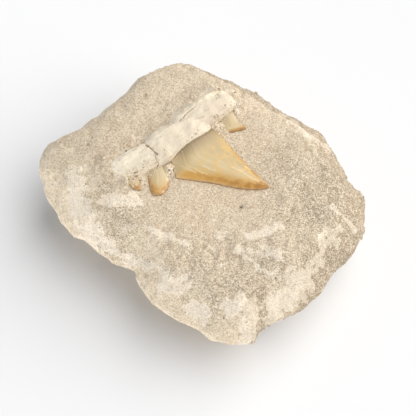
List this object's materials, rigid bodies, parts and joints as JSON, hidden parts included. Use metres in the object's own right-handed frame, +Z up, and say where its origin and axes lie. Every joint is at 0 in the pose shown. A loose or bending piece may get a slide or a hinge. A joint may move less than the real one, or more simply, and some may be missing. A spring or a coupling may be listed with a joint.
{
  "type": "fossil shark tooth",
  "caption": "Fossil shark tooth with a thick pale root, an amber crown and side cusplets, bedded in a loose block of sandy matrix that stands on its flat base.",
  "frame": {"origin": "middle of the object's box on the flat face that the block stands on", "axes": "+Z up, +X along the block's longest side, the tooth's tip pointing towards +X and -Y"},
  "size_m": [0.1126, 0.1044, 0.0401],
  "materials": {
    "sandy_matrix": "rough sandy limestone with chalky patches, matt",
    "fossil_tooth": "chalky cream root, satin amber enamel on crown and cusplets"
  },
  "bodies": {
    "root": {"matrix_stone": "sandy_matrix", "shark_tooth": "fossil_tooth"}
  },
  "joints": []
}
